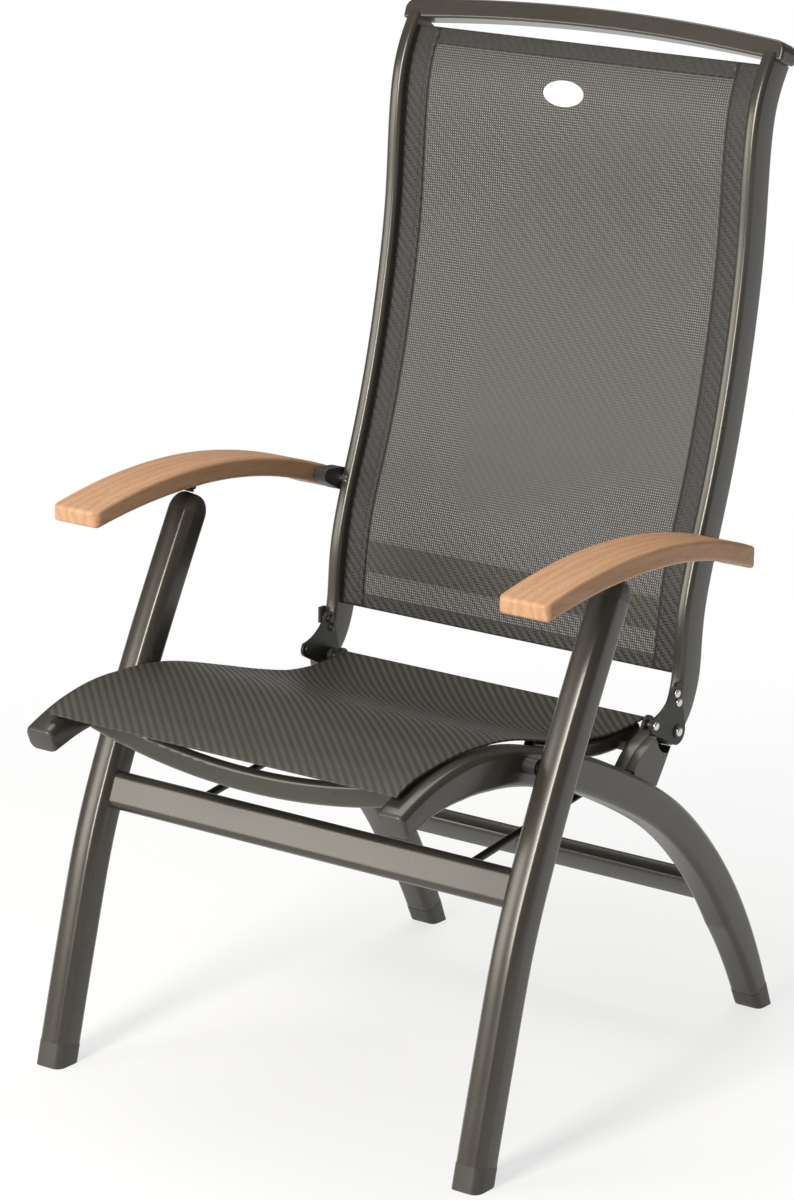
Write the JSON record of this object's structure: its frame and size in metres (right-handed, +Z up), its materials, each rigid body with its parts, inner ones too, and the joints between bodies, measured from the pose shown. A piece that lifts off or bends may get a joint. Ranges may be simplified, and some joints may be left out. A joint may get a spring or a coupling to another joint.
{
  "type": "reclining folding garden armchair",
  "caption": "High-back folding garden armchair with stretched mesh seat and back, bent grey tube frame, timber armrests and a ratchet recline.",
  "frame": {"origin": "middle of the footprint box on the floor, under the seat", "axes": "+Z up, the chair faces -Y, +X is the sitter's left, the viewer's right in the picture"},
  "size_m": [0.646, 0.7388, 1.1247],
  "materials": {
    "frame_aluminium": "taupe grey powder coat, satin",
    "black_plastic": "moulded black nylon",
    "teak": "oiled teak",
    "sling_fabric": "coated yarn mesh, diagonal ribs",
    "badge_white": "blank white oval",
    "bolt_steel": "bright zinc",
    "black_steel": "black paint"
  },
  "bodies": {
    "frame": {"arch_left": "frame_aluminium", "arch_right": "frame_aluminium", "rear_foot_cap_left": "black_plastic", "rear_foot_cap_right": "black_plastic", "arch_end_cap_left": "black_plastic", "arch_end_cap_right": "black_plastic", "hinge_post_left": "frame_aluminium", "hinge_post_right": "frame_aluminium", "bowed_front_bar": "frame_aluminium", "rear_crossbar": "frame_aluminium", "seat_rail_left": "frame_aluminium", "seat_rail_right": "frame_aluminium", "seat_rear_bar": "frame_aluminium", "seat_sling": "sling_fabric", "leg_pivot_pins": "bolt_steel", "leg_pivot_washers": "black_plastic", "leg_pivot_spacers": "black_plastic", "hinge_spacers": "black_plastic"},
    "hinge": {"hinge_plate_left": "black_steel", "hinge_plate_right": "black_steel", "hinge_lever_left": "black_steel", "hinge_lever_right": "black_steel", "hinge_axles": "bolt_steel", "hinge_cross_shaft": "bolt_steel", "plate_bolt_heads": "bolt_steel", "pivot_washers": "black_plastic", "plate_nuts": "bolt_steel", "pick_up_pins": "bolt_steel"},
    "front_legs": {"front_leg_left": "frame_aluminium", "front_leg_right": "frame_aluminium", "front_foot_cap_left": "black_plastic", "front_foot_cap_right": "black_plastic", "leg_top_cap_left": "black_plastic", "leg_top_cap_right": "black_plastic", "ratchet_catch_left": "black_steel", "ratchet_catch_right": "black_steel", "front_crossbar": "frame_aluminium", "rod_ears": "black_steel", "rod_pins": "bolt_steel"},
    "stay_rods": {"stay_rod_left": "black_steel", "stay_rod_right": "black_steel"},
    "backrest": {"back_tube_left": "frame_aluminium", "back_tube_right": "frame_aluminium", "tube_buffer_left": "black_plastic", "tube_buffer_right": "black_plastic", "back_top_bar": "frame_aluminium", "back_low_bar": "frame_aluminium", "hem_rod": "black_steel", "hem_rod_plugs": "black_plastic", "back_sling": "sling_fabric", "badge": "badge_white", "arm_pivot_pins": "bolt_steel"},
    "arm_block_left": {"arm_block_left": "black_plastic"},
    "arm_block_right": {"arm_block_right": "black_plastic"},
    "armrest_left": {"armrest_left": "teak", "arm_rack_left": "black_plastic"},
    "armrest_right": {"armrest_right": "teak", "arm_rack_right": "black_plastic"}
  },
  "joints": [
    {"name": "fold", "type": "hinge", "parent": "frame", "child": "hinge", "pos_m": [0, 0.1464, 0.381], "axis": [1, 0, 0], "range_deg": [0, 80]},
    {"name": "legs_fold", "type": "hinge", "parent": "frame", "child": "front_legs", "pos_m": [0, -0.1446, 0.416], "axis": [1, 0, 0], "range_deg": [0, 40.7]},
    {"name": "rods_turn", "type": "hinge", "parent": "front_legs", "child": "stay_rods", "pos_m": [0, -0.1615, 0.2913], "axis": [1, 0, 0], "range_deg": [-42.9, 0]},
    {"name": "recline", "type": "hinge", "parent": "hinge", "child": "backrest", "pos_m": [0, 0.1464, 0.381], "axis": [1, 0, 0], "range_deg": [-30, 0]},
    {"name": "arm_block_left_level", "type": "hinge", "parent": "backrest", "child": "arm_block_left", "pos_m": [0, 0.1904, 0.578], "axis": [1, 0, 0], "range_deg": [0, 19.9]},
    {"name": "armrest_left_fold", "type": "hinge", "parent": "arm_block_left", "child": "armrest_left", "pos_m": [0, 0.1904, 0.578], "axis": [1, 0, 0], "range_deg": [-128.1, 0]},
    {"name": "arm_block_right_level", "type": "hinge", "parent": "backrest", "child": "arm_block_right", "pos_m": [0, 0.1904, 0.578], "axis": [1, 0, 0], "range_deg": [0, 19.9]},
    {"name": "armrest_right_fold", "type": "hinge", "parent": "arm_block_right", "child": "armrest_right", "pos_m": [0, 0.1904, 0.578], "axis": [1, 0, 0], "range_deg": [-128.1, 0]}
  ],
  "couplings": [
    {"joint": "legs_fold", "follows": "fold", "ratio": 0.5082},
    {"joint": "rods_turn", "follows": "fold", "ratio": -0.5357},
    {"joint": "arm_block_left_level", "follows": "recline", "ratio": -0.66},
    {"joint": "armrest_left_fold", "follows": "fold", "ratio": -1.6},
    {"joint": "arm_block_right_level", "follows": "recline", "ratio": -0.66},
    {"joint": "armrest_right_fold", "follows": "fold", "ratio": -1.6}
  ]
}
